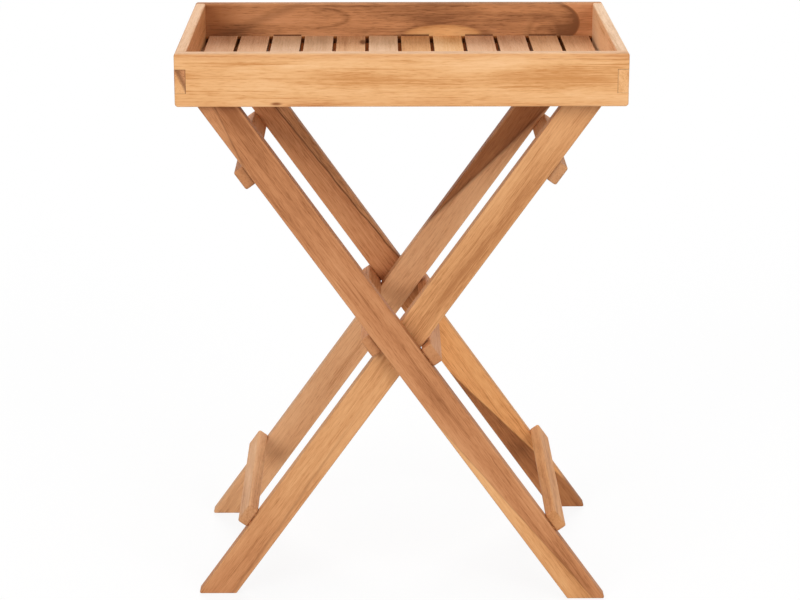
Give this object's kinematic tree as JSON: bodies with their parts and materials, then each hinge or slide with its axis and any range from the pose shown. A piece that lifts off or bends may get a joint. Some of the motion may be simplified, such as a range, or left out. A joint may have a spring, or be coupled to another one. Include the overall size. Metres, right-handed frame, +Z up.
{
  "type": "butlers tray table",
  "caption": "Folding cross-legged wooden stand with a lift-off slatted tray, used as an occasional table.",
  "frame": {"origin": "on the floor, under the middle of the tray", "axes": "+Z up, +X to the right along the tray's width, the front faces -Y"},
  "size_m": [0.55, 0.385, 0.715],
  "materials": {
    "board_teak": "oiled",
    "slat_teak": "oiled",
    "leg_teak": "oiled",
    "rail_teak": "oiled",
    "hidden_wood": "plain",
    "steel": "brushed"
  },
  "bodies": {
    "outer_frame": {"outer_front_leg": "leg_teak", "outer_back_leg": "leg_teak", "outer_top_rail": "rail_teak", "outer_bottom_rail": "rail_teak", "left_stop_rail": "rail_teak", "right_stop_rail": "rail_teak", "outer_rail_dowels": "hidden_wood", "front_pivot_pin": "steel", "back_pivot_pin": "steel", "front_pivot_washer": "steel", "back_pivot_washer": "steel"},
    "inner_frame": {"inner_front_leg": "leg_teak", "inner_back_leg": "leg_teak", "inner_top_rail": "rail_teak", "inner_bottom_rail": "rail_teak", "inner_rail_dowels": "hidden_wood"},
    "tray": {"tray_front_board": "board_teak", "tray_back_board": "board_teak", "tray_left_board": "board_teak", "tray_right_board": "board_teak", "tray_slat_01": "slat_teak", "tray_slat_02": "slat_teak", "tray_slat_03": "slat_teak", "tray_slat_04": "slat_teak", "tray_slat_05": "slat_teak", "tray_slat_06": "slat_teak", "tray_slat_07": "slat_teak", "tray_slat_08": "slat_teak", "tray_slat_09": "slat_teak", "tray_slat_10": "slat_teak", "tray_slat_11": "slat_teak", "tray_slat_12": "slat_teak", "tray_cross_batten": "hidden_wood", "batten_screws": "steel"}
  },
  "joints": [
    {"name": "fold", "type": "hinge", "parent": "outer_frame", "child": "inner_frame", "pos_m": [0, 0, 0.333], "axis": [0, -1, 0], "range_deg": [0, 70.5]},
    {"name": "tray_lift", "type": "slide", "parent": "outer_frame", "child": "tray", "axis": [0, 0, 1], "range_m": [0, 0.38]}
  ],
  "couplings": [
    {"joint": "tray_lift", "follows": "fold", "m_per_rad": 0.3}
  ]
}
